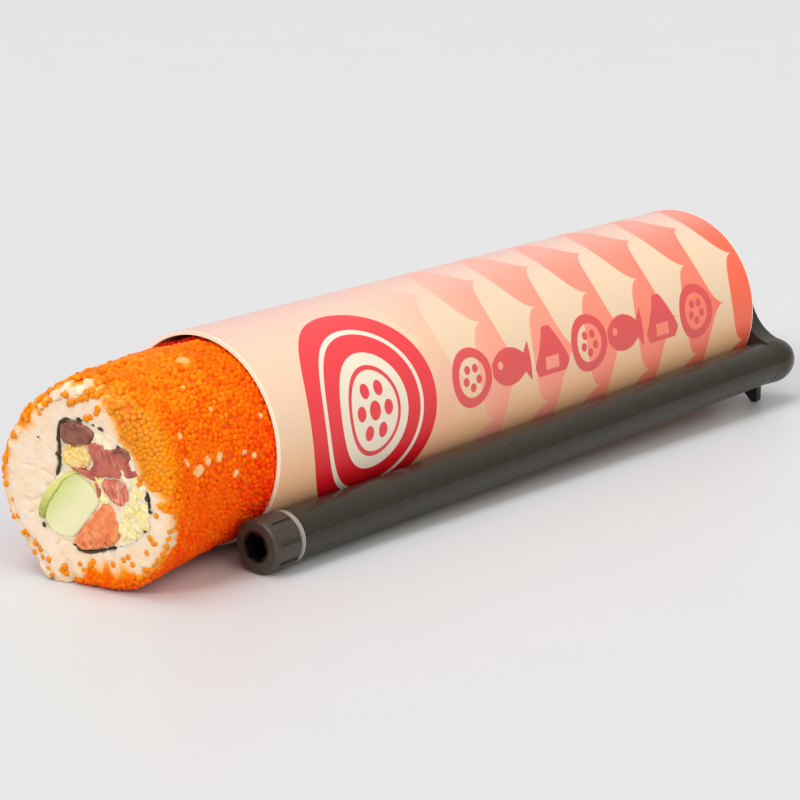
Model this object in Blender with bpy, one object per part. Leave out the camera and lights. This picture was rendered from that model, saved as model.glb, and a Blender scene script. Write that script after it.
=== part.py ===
"""A card tube of inside-out sushi roll that is pushed up to eat, lying down with its push stick beside it.

Sizes are real ones in metres, angles are in degrees. The model is set out from the middle of the tube's
mouth on the ground: the tube runs back along +X, the roll comes out towards -X, and the stick lies on the
-Y side. At the end the whole is moved so that its origin is at the middle of its footprint.
"""

import math
import random

import bmesh
import bpy
from mathutils import Vector

# Card tube
TUBE_RADIUS = 0.0250
TUBE_WALL = 0.0009
TUBE_LENGTH = 0.1887
TUBE_MIDDLE_Z = 0.02485  # a little under the radius, so the card rests on a narrow flat

# Roll of rice and fillings
ROLL_RADII = (26.0, 23.5, 22.9, 23.6, 23.6, 22.6, 22.2, 22.8, 24.3, 22.8, 25.7, 25.9)  # of its cut end, in
# millimetres at equal turns from +Y towards +Z
ROLL_FACE_X = -0.0410  # middle of the cut face
ROLL_BACK_X = 0.1842
ROLL_RADIUS_IN_TUBE = 0.0233
ROLL_IN_TUBE = (-0.0004, 0.02438)  # Y and Z of the roll's middle inside the tube
ROLL_AT_FACE = (-0.0062, 0.0233)  # Y and Z of the roll's middle at its cut face
ROLL_SQUEEZE = 0.98  # how much the tube squeezes the fillings
FACE_TURN = -8.0  # the cut face turned about the vertical, towards the stick
FACE_LEAN = -2.0  # the cut face leaned over its foot
FACE_EDGE = 0.0011  # how far the face's rim falls back, between these two distances from the face's middle
FACE_EDGE_FROM = 0.0202
FACE_EDGE_TO = 0.0237
NORI_MIDDLE = (-0.0010, 0.0002)
NORI_RADII = (11.1, 10.0, 11.9, 16.2, 15.7, 14.5, 13.8, 14.6, 14.6, 15.9, 16.2, 15.8, 14.3, 14.2, 15.4, 16.1,
              17.7, 15.5)
NORI_THICKNESS = 0.0005
ROE_BUMP = 0.0004
ROE_GRAIN_RADIUS = 0.0009
ROE_GRAINS = 30
GAP = 0.0003  # clearance between pieces that touch

# Push stick: its middle line passes these points at the tube's two ends
STICK_AT_MOUTH = Vector((0.0, -0.0260, 0.00663))
STICK_AT_BACK = Vector((TUBE_LENGTH, -0.0280, 0.0113))
SHAFT_RADIUS = 0.0058
KNUCKLE_RADIUS = 0.0062
KNUCKLE_START = 0.1932
KNUCKLE_END = 0.2013
CAP_RADIUS = 0.0064
CAP_START = -0.0090
CAP_LENGTH = 0.0084
CAP_GROOVES = 8
GROOVE_WIDTH = 0.0010
GROOVE_DEPTH = 0.0005
FIRST_GROOVE_TURN = 122.0
HEX_CORNER_RADIUS = 0.0035
HEX_DEPTH = 0.0072
SEAL_RADIUS = 0.0062
SEAL_WIDTH = 0.0016

# Plate at the tube's back end, moulded in one with the stick
PLUG_RADIUS = 0.0236
PLUG_START = 0.1846
PLATE_RADIUS = 0.0218
PLATE_START = 0.1890
PLATE_THICKNESS = 0.0026
EAR_INNER_RADIUS = 0.0205
EAR_FILLET = 0.0130
EAR_THICKNESS = 0.0060
FOOT = ((-26.9, 8.0), (-26.9, 0.7), (-26.3, 0.0), (-25.1, 0.0), (-21.6, 3.4), (-19.0, 9.0))  # Y and Z in millimetres

# Fillings: outlines in millimetres from the middle of the roll's face, Y then Z, and how far each stands out
FILLINGS = {
    "tuna_dark": (0.5, ((6.0, 13.5), (3.4, 14.5), (0.0, 14.1), (-2.4, 13.1), (-2.0, 11.5), (1.0, 10.5), (6.3, 10.6))),
    "crunch_nugget": (0.7, ((6.3, 8.8), (3.4, 9.7), (0.3, 9.2), (-0.6, 7.2), (0.6, 5.3), (3.4, 4.5), (6.6, 5.2))),
    "tuna_pale": (0.3, ((-1.2, 10.2), (-4.2, 10.7), (-7.0, 9.8), (-10.0, 10.0), (-12.0, 7.6), (-13.2, 5.3),
                        (-10.0, 4.6), (-6.6, 4.0), (-3.6, 3.3), (-1.2, 4.0), (-1.3, 7.2))),
    "tuna_flakes": (0.5, ((-4.6, 2.7), (-7.8, 3.5), (-10.6, 3.9), (-11.0, 0.2), (-9.0, -2.3), (-6.4, -1.7),
                          (-4.8, -0.2))),
    "cucumber_flesh": (0.2, ((6.0, 0.2), (3.4, 1.8), (1.2, 1.6), (-1.0, -0.3), (-2.3, -3.0), (-0.6, -5.8),
                             (2.5, -9.3), (5.4, -11.8), (8.6, -11.8), (11.2, -10.4), (11.4, -8.0), (9.2, -3.8))),
    "cucumber_skin": (0.3, ((12.9, -8.0), (11.5, -4.8), (9.5, -1.9), (7.2, 0.6), (4.2, 3.0), (1.6, 3.3), (1.5, 2.5),
                            (4.0, 2.1), (6.7, 0.1), (9.8, -3.6), (11.9, -7.9))),
    "salmon": (0.8, ((-4.2, -2.9), (-6.6, -3.5), (-8.0, -6.0), (-8.2, -9.0), (-6.6, -11.4), (-3.2, -12.6),
                     (0.8, -13.6), (3.6, -12.9), (4.4, -11.8), (2.0, -9.6), (-0.9, -6.3))),
    "crunch_side": (0.0, ((-12.2, 4.1), (-14.2, 3.6), (-15.6, 0.8), (-15.9, -2.4), (-14.6, -6.0), (-12.0, -9.4),
                          (-8.7, -10.6), (-9.2, -6.4), (-8.0, -3.6), (-10.6, -2.2), (-12.0, 0.2))),
    "crunch_core": (0.1, ((-1.5, 2.9), (-3.8, 2.5), (-4.2, 0.2), (-5.0, -1.9), (-3.3, -2.0), (-2.2, -0.6))),
}
FILLING_SHOULDER = 0.0005
THIN_FILLINGS = ("cucumber_skin", "crunch_core")
THIN_SHOULDER = 0.0001

# Counts of flat faces round and along the pieces
TUBE_SIDES = 120
ROLL_SIDES = 78
NORI_SIDES = 44
STICK_SIDES = 36
PLATE_SIDES = 56
OUTLINE_STEPS = 3
ROE_ROWS = 20
FACE_ROWS = 5
ROLL_STATIONS = (-0.0460, -0.0330, -0.0210, -0.0090, 0.0020)

MM = 0.001

for thing in list(bpy.data.objects):
    bpy.data.objects.remove(thing, do_unlink=True)
draw = random.Random(5)
whole = bpy.data.objects.new("whole", None)
bpy.context.collection.objects.link(whole)


def finish(name, colour, roughness):
    """A plain material of one colour, given as linear red, green and blue."""
    material = bpy.data.materials.new(name)
    material.use_nodes = True
    shader = material.node_tree.nodes["Principled BSDF"]
    shader.inputs["Base Color"].default_value = (*colour, 1.0)
    shader.inputs["Roughness"].default_value = roughness
    material.diffuse_color = (*colour, 1.0)
    return material


def skin(name, rings, material, ring_of_rings=False, parent=whole, height=None):
    """A closed solid stretched over rings of points; a ring of one point is a tip.

    Where a height is given, each face of four corners folds between its two lower ones, so bumps stay round.
    """
    mesh = bpy.data.meshes.new(name)
    shape = bmesh.new()
    loops = [[shape.verts.new(point) for point in ring] for ring in rings]
    pairs = list(zip(loops, loops[1:]))
    if ring_of_rings:
        pairs.append((loops[-1], loops[0]))
    for near, far in pairs:
        count = max(len(near), len(far))
        for k in range(count):
            after = (k + 1) % count
            corners = [near[k % len(near)], near[after % len(near)], far[after % len(far)], far[k % len(far)]]
            if height:
                if height(corners[0].co) + height(corners[2].co) > height(corners[1].co) + height(corners[3].co):
                    corners = corners[1:] + corners[:1]
                shape.faces.new(corners[:3])
                shape.faces.new(corners[2:] + corners[:1])
            else:
                shape.faces.new(dict.fromkeys(corners))
    if not ring_of_rings:
        for loop in (loops[0], loops[-1]):
            if len(loop) > 1:
                shape.faces.new(loop)
    bmesh.ops.recalc_face_normals(shape, faces=shape.faces)
    if shape.calc_volume(signed=True) < 0:
        bmesh.ops.reverse_faces(shape, faces=shape.faces)
    shape.to_mesh(mesh)
    shape.free()
    mesh.materials.append(material)
    mesh.shade_smooth()
    mesh.set_sharp_from_angle(angle=math.radians(35))
    piece = bpy.data.objects.new(name, mesh)
    bpy.context.collection.objects.link(piece)
    piece.parent = parent
    return piece


def turned(name, profile, sides, material, parent=whole):
    """A solid turned about its own X axis from (x, radius) pairs."""
    rings = []
    for x, radius in profile:
        angles = [math.tau * k / sides for k in range(sides if radius else 1)]
        rings.append([Vector((x, radius * math.cos(a), radius * math.sin(a))) for a in angles])
    return skin(name, rings, material, parent=parent)


def cut_or_join(piece, other, operation):
    """The other shape is only a guide: it is left out of the model."""
    other.hide_render = True
    other.display_type = "WIRE"
    step = piece.modifiers.new(other.name, "BOOLEAN")
    step.operation = operation
    step.object = other


def closed_curve(points, steps):
    """A smooth closed curve through points or numbers."""
    curve = []
    for k, here in enumerate(points):
        before = points[k - 1]
        after = points[(k + 1) % len(points)]
        beyond = points[(k + 2) % len(points)]
        for step in range(steps):
            t = step / steps
            curve.append(0.5 * (2 * here + (after - before) * t
                                + (2 * before - 5 * here + 4 * after - beyond) * t * t
                                + (3 * here - before - 3 * after + beyond) * t ** 3))
    return curve


def shrunk(outline, distance):
    """An outline that runs round counter-clockwise or clockwise, moved inwards by a distance."""
    area = sum(a.cross(b) for a, b in zip(outline, outline[1:] + outline[:1]))
    inward = math.copysign(distance, area)
    moved = []
    for k, point in enumerate(outline):
        along = outline[(k + 1) % len(outline)] - outline[k - 1]
        moved.append(point + Vector((-along.y, along.x)).normalized() * inward)
    return moved


def inside_at(x):
    """How far the roll has taken the tube's shape at a station, from 0 to 1."""
    return min(max((x - ROLL_STATIONS[-3]) / (ROLL_STATIONS[-1] - ROLL_STATIONS[-3]), 0.0), 1.0)


def lean_at(x):
    """How far the roll's middle has moved, 0 inside the tube and 1 at the cut face."""
    start = ROLL_STATIONS[-2]
    return max((start - x) / (start - ROLL_FACE_X), 0.0) ** 1.3


def between_stations(value_at, x):
    """A value worked out at the stations, and straight between them so that all the fillings bend alike."""
    if x >= ROLL_STATIONS[-1]:
        return value_at(ROLL_STATIONS[-1])
    for near, far in zip(ROLL_STATIONS, ROLL_STATIONS[1:]):
        if x < far:
            break
    share = (x - near) / (far - near)
    return value_at(near) * (1 - share) + value_at(far) * share


def in_roll(across, x):
    """A place in the roll, from its Y and Z about the roll's middle."""
    lean = between_stations(lean_at, x)
    size = 1 + (ROLL_SQUEEZE - 1) * between_stations(inside_at, x)
    middle_y = ROLL_IN_TUBE[0] + (ROLL_AT_FACE[0] - ROLL_IN_TUBE[0]) * lean
    middle_z = ROLL_IN_TUBE[1] + (ROLL_AT_FACE[1] - ROLL_IN_TUBE[1]) * lean
    return Vector((x, middle_y + across.x * size, max(middle_z + across.y * size, 0.0)))


def face_x(across):
    """Where the cut through the roll lies, for a place about its middle."""
    rim = min(max((across.length - FACE_EDGE_FROM) / (FACE_EDGE_TO - FACE_EDGE_FROM), 0.0), 1.0)
    turned_by = across.x * math.tan(math.radians(FACE_TURN)) + across.y * math.tan(math.radians(FACE_LEAN))
    return ROLL_FACE_X + turned_by + FACE_EDGE * rim ** 2


def card_tube():
    rings = []
    for x, radius in ((0.0, TUBE_RADIUS), (TUBE_LENGTH, TUBE_RADIUS), (TUBE_LENGTH, TUBE_RADIUS - TUBE_WALL),
                      (0.0, TUBE_RADIUS - TUBE_WALL)):
        ring = []
        for k in range(TUBE_SIDES):
            angle = math.tau * k / TUBE_SIDES
            lowest = TUBE_RADIUS - radius
            ring.append(Vector((x, radius * math.cos(angle), max(TUBE_MIDDLE_Z + radius * math.sin(angle), lowest))))
        rings.append(ring)
    return skin("card_tube", rings, finish("printed card", (0.89, 0.62, 0.42), 0.45), ring_of_rings=True)


def round_outline(radii, sides, middle=(0.0, 0.0), offset=0.0):
    """An outline through radii in millimetres, set at equal angles about its middle."""
    smooth = closed_curve(radii, 30)
    outline = []
    for k in range(sides):
        radius = smooth[round(k * len(smooth) / sides) % len(smooth)] * MM + offset
        angle = math.tau * k / sides
        outline.append(Vector((middle[0] + radius * math.cos(angle), middle[1] + radius * math.sin(angle))))
    return outline


def swept(name, outlines, material, hollow_outlines=None, front=0.0):
    """A filling from the cut face to the far end of the roll; the outlines go from the face's edge inwards."""
    rings = []
    for depth, outline in outlines:
        rings.append([in_roll(p, face_x(p) - front + depth) for p in outline])
    edge = outlines[-1][1]
    for station in ROLL_STATIONS[1:] + (ROLL_BACK_X,):
        rings.append([in_roll(p, station) for p in edge])
    if hollow_outlines:
        for station in (ROLL_BACK_X,) + ROLL_STATIONS[:0:-1]:
            rings.append([in_roll(p, station) for p in hollow_outlines[-1][1]])
        for depth, outline in reversed(hollow_outlines):
            rings.append([in_roll(p, face_x(p) - front + depth) for p in outline])
    return skin(name, rings, material, ring_of_rings=bool(hollow_outlines))


def filling(name, material):
    front, corners = FILLINGS[name]
    shoulder = THIN_SHOULDER if name in THIN_FILLINGS else FILLING_SHOULDER
    edge = closed_curve([Vector(corner) * MM for corner in corners], OUTLINE_STEPS)
    edge = shrunk(edge, GAP / 2)
    middle = shrunk(edge, shoulder)
    return swept(name, [(0.0, middle), (shoulder, edge)], material, front=front * MM)


def nori(material):
    outer = round_outline(NORI_RADII, NORI_SIDES, NORI_MIDDLE)
    inner = round_outline(NORI_RADII, NORI_SIDES, NORI_MIDDLE, -NORI_THICKNESS)
    return swept("nori", [(0.0, outer)], material, [(0.0, inner)], front=0.0002)


def rice(material):
    """Rice with the roe that coats it: grain-sized bumps, and single grains round the cut's rim."""
    hole = round_outline(NORI_RADII, ROLL_SIDES, NORI_MIDDLE, GAP)
    edge = round_outline(ROLL_RADII, ROLL_SIDES)
    tight = round_outline([ROLL_RADIUS_IN_TUBE / ROLL_SQUEEZE / MM] * 12, ROLL_SIDES)
    rings = []
    for row in range(FACE_ROWS):
        share = row / FACE_ROWS
        ring = []
        for inside, outside in zip(hole, edge):
            across = inside.lerp(outside, share)
            ring.append(in_roll(across, face_x(across) + draw.uniform(-0.35, 0.35) * MM * min(row, 1)))
        rings.append(ring)
    roe_end = ROLL_STATIONS[-1]
    for row in range(ROE_ROWS + 1):
        share = row / ROE_ROWS
        rough = ROE_BUMP if row < ROE_ROWS - 1 else 0.0
        ring = []
        for outside, inside in zip(edge, tight):
            start = face_x(outside)
            x = start + (roe_end - start) * share
            across = outside.lerp(inside, between_stations(inside_at, x))
            bump = rough * draw.choice((-1.0, -0.6, 0.2, 0.8, 1.0))
            place = in_roll(across + across.normalized() * bump, x)
            ring.append(place + Vector((rough * draw.uniform(-0.8, 0.8), 0.0, 0.0)))
        rings.append(ring)
    rings.append([in_roll(across, ROLL_BACK_X) for across in tight])
    for station in (ROLL_BACK_X,) + ROLL_STATIONS[:0:-1]:
        rings.append([in_roll(across, station) for across in hole])
    piece = skin("rice_with_roe", rings, material, ring_of_rings=True,
                 height=lambda point: math.hypot(point.y - ROLL_AT_FACE[0], point.z - ROLL_AT_FACE[1]))
    grains = bpy.data.collections.new("roe_grains")
    bpy.context.scene.collection.children.link(grains)
    for k in range(ROE_GRAINS):
        angle = math.tau * (k + draw.uniform(-0.3, 0.3)) / ROE_GRAINS
        nearest = edge[round(angle / math.tau * ROLL_SIDES) % ROLL_SIDES]
        across = nearest * draw.choice((0.99, 0.97, 0.90, 0.82))
        grain = turned("roe_grain", half_circle(ROE_GRAIN_RADIUS, 4), 6, material, parent=None)
        grain.location = in_roll(across, face_x(across) - ROE_GRAIN_RADIUS * 0.3)
        grain.location.z = max(grain.location.z, ROE_GRAIN_RADIUS)
        bpy.context.collection.objects.unlink(grain)
        grains.objects.link(grain)
    fuse(piece, grains)
    return piece


def half_circle(radius, steps):
    """Profile of a ball, from tip to tip."""
    return [(-radius * math.cos(math.pi * k / steps), radius * math.sin(math.pi * k / steps) if 0 < k < steps else 0)
            for k in range(steps + 1)]


def fuse(piece, grains):
    """Joins all the grains to the piece in one step, and removes them."""
    step = piece.modifiers.new("grains", "BOOLEAN")
    step.operation = "UNION"
    step.operand_type = "COLLECTION"
    step.collection = grains
    step.solver = "MANIFOLD"
    ready = bpy.context.evaluated_depsgraph_get()
    fused = bpy.data.meshes.new_from_object(piece.evaluated_get(ready))
    piece.modifiers.clear()
    piece.data = fused
    for grain in list(grains.objects):
        bpy.data.objects.remove(grain, do_unlink=True)
    bpy.data.collections.remove(grains)


def stick_cap(line, black):
    """The cap on the stick's front end, with grooves round it and a hexagonal socket."""
    chamfer = 0.0005
    end = CAP_START + CAP_LENGTH
    cap = turned("stick_cap", [(CAP_START, CAP_RADIUS - chamfer), (CAP_START + chamfer, CAP_RADIUS),
                               (end - chamfer / 2, CAP_RADIUS), (end, CAP_RADIUS - chamfer / 2)],
                 STICK_SIDES, black, parent=line)
    rings = []
    for x in (CAP_START - 0.001, CAP_START + HEX_DEPTH):
        turns = [math.radians(10 + 60 * k) for k in range(6)]
        rings.append([Vector((x, HEX_CORNER_RADIUS * math.cos(a), HEX_CORNER_RADIUS * math.sin(a))) for a in turns])
    cut_or_join(cap, skin("hex_socket", rings, black, parent=line), "DIFFERENCE")
    for k in range(CAP_GROOVES):
        angle = math.radians(FIRST_GROOVE_TURN + 360 / CAP_GROOVES * k)
        out = Vector((0.0, math.cos(angle), math.sin(angle)))
        side = Vector((0.0, -out.z, out.y)) * GROOVE_WIDTH / 2
        rings = []
        for x in (CAP_START + 0.0020, end + 0.001):
            shift = Vector((x, 0.0, 0.0))
            floor = out * (CAP_RADIUS - GROOVE_DEPTH)
            top = out * (CAP_RADIUS + 0.001)
            rings.append([shift + floor - side, shift + floor + side, shift + top + side * 1.6,
                          shift + top - side * 1.6])
        cut_or_join(cap, skin(f"groove_{k}", rings, black, parent=line), "DIFFERENCE")


def stick_seal(line, grey):
    """The pale ring between the cap and the shaft."""
    chamfer = 0.0005
    start = CAP_START + CAP_LENGTH + GAP
    end = start + SEAL_WIDTH
    turned("stick_seal", [(start, SEAL_RADIUS - chamfer / 2), (start + chamfer / 2, SEAL_RADIUS),
                          (end - chamfer, SEAL_RADIUS), (end, SHAFT_RADIUS)], STICK_SIDES, grey, parent=line)


def arc(centre, radius, start, end, steps):
    """Points on an arc from one angle to another, in radians."""
    turns = [start + (end - start) * k / steps for k in range(steps + 1)]
    return [centre + Vector((math.cos(a), math.sin(a))) * radius for a in turns]


def slab(name, outline, x, thickness, material):
    """An outline in Y and Z with a thickness along X."""
    rings = [[Vector((place, p.x, p.y)) for p in outline] for place in (x, x + thickness)]
    return skin(name, rings, material)


def angle_to(start, end):
    return math.atan2(end.y - start.y, end.x - start.x)


def ear_outline(middle, knuckle):
    """From the plate to the stick's knuckle, hollowed on its upper side."""
    apart = knuckle - middle
    reach_a = EAR_INNER_RADIUS + EAR_FILLET
    reach_b = KNUCKLE_RADIUS + EAR_FILLET
    along = (reach_a ** 2 - reach_b ** 2 + apart.length_squared) / (2 * apart.length)
    aside = math.sqrt(reach_a ** 2 - along ** 2)
    direction = apart.normalized()
    fillet = middle + direction * along + Vector((direction.y, -direction.x)) * aside
    upper = arc(fillet, EAR_FILLET, angle_to(fillet, knuckle), angle_to(fillet, middle), 10)
    inside = arc(middle, EAR_INNER_RADIUS, angle_to(middle, fillet), math.radians(237), 8)
    tip = arc(knuckle, KNUCKLE_RADIUS - GAP, math.radians(-60), angle_to(knuckle, fillet) - math.tau, 14)
    return upper[:-1] + inside + tip[:-1]


def push_stick(line, black):
    """The shaft with its rounded knuckle, the plug in the tube's back end, the ear between them and a small foot."""
    start = CAP_START + CAP_LENGTH + GAP + SEAL_WIDTH + GAP
    dome_length = KNUCKLE_END - KNUCKLE_START
    dome = [(KNUCKLE_START + dome_length * math.sin(math.pi / 2 * k / 8),
             KNUCKLE_RADIUS * math.cos(math.pi / 2 * k / 8) if k < 8 else 0) for k in range(9)]
    stick = turned("push_stick", [(start, SHAFT_RADIUS), (PLATE_START, SHAFT_RADIUS)] + dome, STICK_SIDES, black,
                   parent=line)
    chamfer = 0.0008
    back = PLATE_START + PLATE_THICKNESS
    rim = PLATE_START + GAP
    plug = turned("plug", [(PLUG_START, PLUG_RADIUS - chamfer), (PLUG_START + chamfer, PLUG_RADIUS),
                           (rim, PLUG_RADIUS), (rim, PLATE_RADIUS), (back - chamfer, PLATE_RADIUS),
                           (back, PLATE_RADIUS - chamfer)], PLATE_SIDES, black)
    plug.location.z = TUBE_MIDDLE_Z
    cut_or_join(stick, plug, "UNION")
    outline = ear_outline(Vector((0.0, TUBE_MIDDLE_Z)), Vector((STICK_AT_BACK.y, STICK_AT_BACK.z)))
    cut_or_join(stick, slab("ear", outline, PLATE_START, EAR_THICKNESS, black), "UNION")
    foot = [Vector(corner) * MM for corner in FOOT]
    cut_or_join(stick, slab("foot", foot, rim, PLATE_THICKNESS - 2 * GAP, black), "UNION")


def rest_on_footprint():
    """Moves the whole so that its origin is at the middle of its footprint."""
    bpy.context.view_layer.update()
    ready = bpy.context.evaluated_depsgraph_get()
    corners = []
    for thing in bpy.data.objects:
        if thing.type == "MESH" and not thing.hide_render:
            solid = thing.evaluated_get(ready)
            corners += [solid.matrix_world @ vertex.co for vertex in solid.data.vertices]
    for axis in range(2):
        values = [corner[axis] for corner in corners]
        whole.location[axis] = -(min(values) + max(values)) / 2
    whole.location.z = -min(corner.z for corner in corners)


black_plastic = finish("black plastic", (0.035, 0.033, 0.032), 0.38)
tuna = (0.45, 0.12, 0.10)
card_tube()
rice(finish("rice and roe", (0.95, 0.30, 0.03), 0.35))
nori(finish("nori", (0.03, 0.035, 0.015), 0.5))
filling("tuna_dark", finish("dark tuna", (0.19, 0.07, 0.06), 0.35))
filling("tuna_pale", finish("tuna", tuna, 0.35))
filling("tuna_flakes", finish("flaked tuna", (0.65, 0.19, 0.13), 0.35))
filling("crunch_nugget", finish("crunch", (0.85, 0.66, 0.22), 0.6))
filling("crunch_side", finish("pale crunch", (0.88, 0.76, 0.38), 0.6))
filling("crunch_core", finish("soft crunch", (0.88, 0.78, 0.50), 0.6))
filling("cucumber_flesh", finish("cucumber", (0.72, 0.80, 0.42), 0.3))
filling("cucumber_skin", finish("cucumber skin", (0.20, 0.38, 0.05), 0.4))
filling("salmon", finish("salmon", (0.88, 0.24, 0.08), 0.35))
stick_line = bpy.data.objects.new("stick_line", None)
bpy.context.collection.objects.link(stick_line)
stick_line.parent = whole
stick_line.location = STICK_AT_MOUTH
stick_line.rotation_euler = (STICK_AT_BACK - STICK_AT_MOUTH).to_track_quat("X", "Z").to_euler()
stick_cap(stick_line, black_plastic)
stick_seal(stick_line, finish("pale seal", (0.55, 0.53, 0.48), 0.5))
push_stick(stick_line, black_plastic)
rest_on_footprint()
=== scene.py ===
"""A push-up card tube of inside-out sushi roll, lying on its side with its push stick along it.

Everything is in metres in the part's own frame: the tube runs back along +X from its mouth, the roll comes
out towards -X and the stick lies on the -Y side. Sizes written in millimetres are turned into metres by MM.
"""

import math
import random

import bpy
import numpy as np
from mathutils import Matrix, Vector, geometry, kdtree, noise


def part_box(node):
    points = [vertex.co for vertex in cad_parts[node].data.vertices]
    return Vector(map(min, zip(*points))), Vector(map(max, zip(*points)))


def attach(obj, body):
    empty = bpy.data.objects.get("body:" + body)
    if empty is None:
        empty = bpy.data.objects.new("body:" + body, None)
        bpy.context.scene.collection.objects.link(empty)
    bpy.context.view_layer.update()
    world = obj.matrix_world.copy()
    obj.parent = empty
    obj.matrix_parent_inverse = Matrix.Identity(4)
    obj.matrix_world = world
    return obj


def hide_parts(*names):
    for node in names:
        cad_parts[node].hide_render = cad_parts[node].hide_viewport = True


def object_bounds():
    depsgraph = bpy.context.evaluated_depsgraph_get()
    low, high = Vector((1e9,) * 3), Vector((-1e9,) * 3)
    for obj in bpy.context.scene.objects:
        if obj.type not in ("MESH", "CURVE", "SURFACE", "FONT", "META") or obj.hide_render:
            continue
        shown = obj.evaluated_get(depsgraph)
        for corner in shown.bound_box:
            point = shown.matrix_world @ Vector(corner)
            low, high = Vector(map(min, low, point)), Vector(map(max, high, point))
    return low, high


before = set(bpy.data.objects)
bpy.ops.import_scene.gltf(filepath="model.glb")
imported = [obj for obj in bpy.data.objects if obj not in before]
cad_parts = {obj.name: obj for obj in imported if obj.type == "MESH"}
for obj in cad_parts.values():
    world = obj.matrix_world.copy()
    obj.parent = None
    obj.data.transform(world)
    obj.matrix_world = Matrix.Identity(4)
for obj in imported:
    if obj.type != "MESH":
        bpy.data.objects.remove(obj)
solid_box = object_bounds()
MM = 0.001


# The nori. One sheet of toasted seaweed, half a millimetre thick, is wrapped round the fillings when the
# roll is made, so at the cut it shows as a thin dark line, hidden in places by rice and sauce. The roll's
# own bends are worked out here first, because everything in it follows them.
tube_low, tube_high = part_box("card_tube")
mouth = np.array((tube_low.x, (tube_low.y + tube_high.y) / 2, 0.0))
STATIONS = (-46.0, -33.0, -21.0, -9.0, 2.0)  # where the roll's bends are set, along the tube from its mouth
CUT_X, ROLL_END_X = -41.0, 184.2
CUT_TURNED, CUT_TILTED = math.tan(math.radians(-8.0)), math.tan(math.radians(-2.0))
RIM_FALL, RIM_FALL_FROM, RIM_FALL_OVER = 1.1, 20.2, 3.5
MIDDLE_IN_TUBE = np.array((-0.4, 24.38))
MIDDLE_AT_CUT = np.array((-6.2, 23.3))
LEAN_FROM, LEAN_POWER = -9.0, 1.3  # from here to the cut the roll leans aside, more and more
HELD_FROM, HELD_OVER, SQUEEZE = -21.0, 23.0, 0.02  # over this length the tube comes to hold and squeeze it
leans = [max((LEAN_FROM - x) / (LEAN_FROM - CUT_X), 0.0) ** LEAN_POWER for x in STATIONS]
held = [min(max((x - HELD_FROM) / HELD_OVER, 0.0), 1.0) for x in STATIONS]


def unit(values):
    """The same values, held between 0 and 1."""
    return np.clip(values, 0.0, 1.0)


def polar(radius, turn):
    """How far across and up places on circles are."""
    return radius * np.cos(turn), radius * np.sin(turn)


def in_roll(y, z, x):
    """Places in the roll, from millimetres about its middle, and how far along the tube they are."""
    lean = np.interp(x, STATIONS, leans)
    size = 1.0 - SQUEEZE * np.interp(x, STATIONS, held)
    middle = MIDDLE_IN_TUBE + (MIDDLE_AT_CUT - MIDDLE_IN_TUBE) * lean[..., None]
    place = np.stack([x, middle[..., 0] + y * size, middle[..., 1] + z * size], -1)
    return place * MM + mouth


def cut_x(y, z):
    """Where the cut through the roll lies: turned a little towards the stick, its rim falling back."""
    rim = unit((np.hypot(y, z) - RIM_FALL_FROM) / RIM_FALL_OVER)
    return CUT_X + y * CUT_TURNED + z * CUT_TILTED + RIM_FALL * rim ** 2


def around(values, turn):
    """A smooth closed curve through values at equal turns, read at any turns."""
    values = np.asarray(values, float)
    at = np.asarray(turn) / math.tau * len(values) % len(values)
    k = np.floor(at).astype(int) % len(values)
    t = at - np.floor(at)
    before, here, after, beyond = (values[(k + step) % len(values)] for step in (-1, 0, 1, 2))
    return 0.5 * (2 * here + (after - before) * t + (2 * before - 5 * here + 4 * after - beyond) * t ** 2
                  + (3 * here - before - 3 * after + beyond) * t ** 3)


def wound(turn, radius, along=0.0):
    """Places round the roll, to read its unevenness at."""
    return np.stack([*polar(radius, turn), 0 * turn + along], -1)


def hump(turn, high, middle, spread):
    """A soft rise at one place round the roll, with its middle and spread in degrees."""
    return high * np.exp(-((np.degrees(turn) % 360 - middle) / spread) ** 2)


def roughened(points, grain, seed):
    """Soft noise from -1 to 1 at each point, in lumps of about that many metres."""
    shift = Vector((seed * 7.13, seed * 3.71, seed * 1.17))
    return np.array([noise.noise(Vector(p) / grain + shift) for p in np.asarray(points).reshape(-1, 3)])


def strip_faces(rows, count, closed=False):
    """Faces between rings of equal count; closed joins the last ring to the first."""
    a = np.arange(rows if closed else rows - 1)[:, None]
    k = np.arange(count)[None, :]
    near, far, after = a * count, (a + 1) % rows * count, (k + 1) % count
    return np.stack([near + k, near + after, far + after, far + k], -1).reshape(-1, 4)


def put_in(name, data):
    """A new thing in the scene, such as a mesh, a light or a camera."""
    thing = bpy.data.objects.new(name, data)
    bpy.context.scene.collection.objects.link(thing)
    return thing


def make_piece(name, points, faces, finish, stands_for=(), sharp=40):
    """A smooth piece that rides with the object."""
    mesh = bpy.data.meshes.new(name)
    places = np.asarray(points, float).reshape(-1, 3).tolist()
    mesh.from_pydata(places, [], [list(map(int, face)) for face in faces])
    mesh.validate()
    mesh.shade_smooth()
    mesh.set_sharp_from_angle(angle=math.radians(sharp))
    mesh.materials.append(finish)
    piece = put_in(name, mesh)
    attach(piece, "root")
    if stands_for:
        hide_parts(*stands_for)
    return piece


def feed(socket, value):
    """Gives a shader's socket a worked-out value or a plain one."""
    if isinstance(value, Tone):
        socket.id_data.links.new(value.socket, socket)
    else:
        socket.default_value = value


def operator(operation):
    """One of Tone's operators, which adds a Math node."""
    return lambda self, other: self.math(operation, other)


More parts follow.
